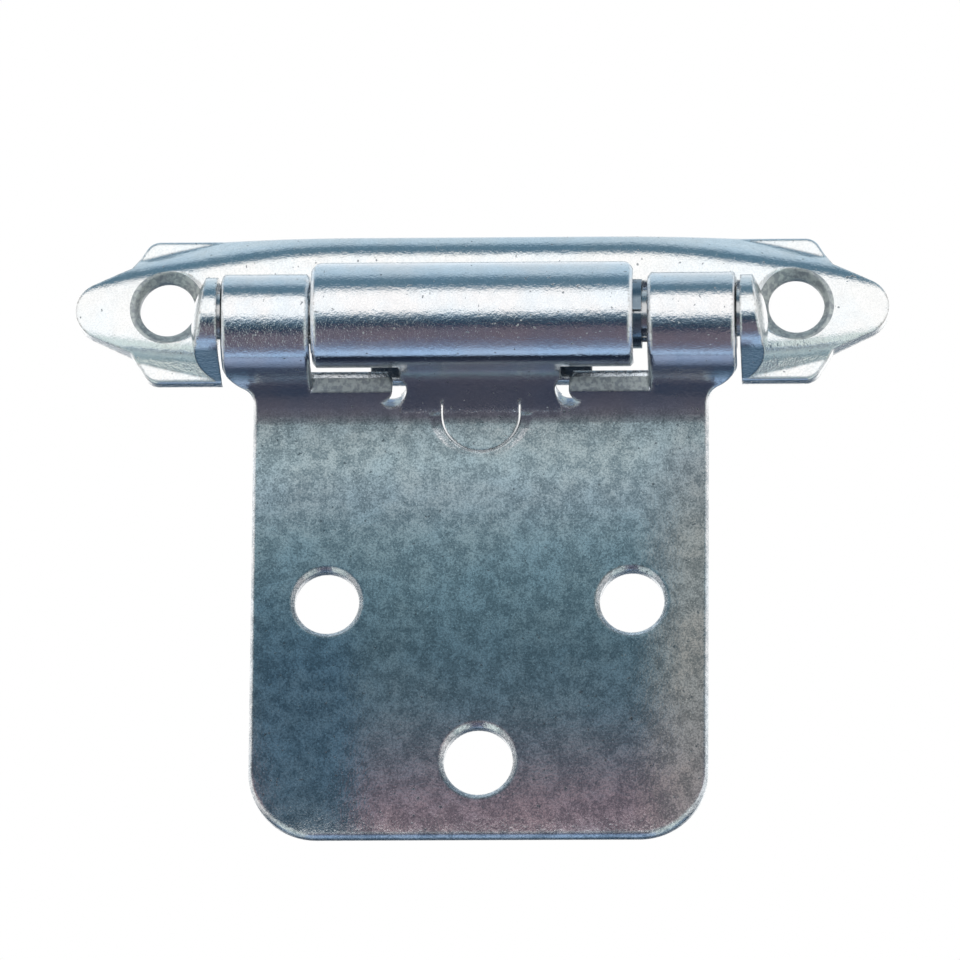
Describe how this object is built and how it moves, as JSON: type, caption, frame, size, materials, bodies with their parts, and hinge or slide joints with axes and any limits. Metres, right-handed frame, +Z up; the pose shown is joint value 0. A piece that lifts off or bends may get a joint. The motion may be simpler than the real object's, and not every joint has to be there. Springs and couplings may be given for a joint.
{
  "type": "self-closing cabinet hinge",
  "caption": "Self-closing overlay cabinet hinge: boat-shaped frame wing, rolled barrel with a sprung pin, and a flat door leaf for wood screws.",
  "frame": {"origin": "midway between the two frame screw holes, on the plane that lies against the cabinet frame", "axes": "+X along the hinge pin, -Y away from the cabinet frame, +Z up, with the door leaf hanging down at rest (door closed)"},
  "size_m": [0.0698, 0.0107, 0.0531],
  "materials": {
    "zinc_plated_steel": "bright zinc plate, finely frosted",
    "pin_steel": "drawn bright steel",
    "spring_steel": "blued spring steel, lightly oiled"
  },
  "bodies": {
    "frame": {"frame_wing": "zinc_plated_steel", "hinge_pin": "pin_steel"},
    "door": {"door_wing": "zinc_plated_steel", "closing_spring": "spring_steel"}
  },
  "joints": [
    {"name": "door_swing", "type": "hinge", "parent": "frame", "child": "door", "pos_m": [0, -0.0062, -0.0019], "axis": [-1, 0, 0], "range_deg": [0, 180], "stiffness_Nm_per_rad": 0.02, "deforming": ["closing_spring"]}
  ]
}
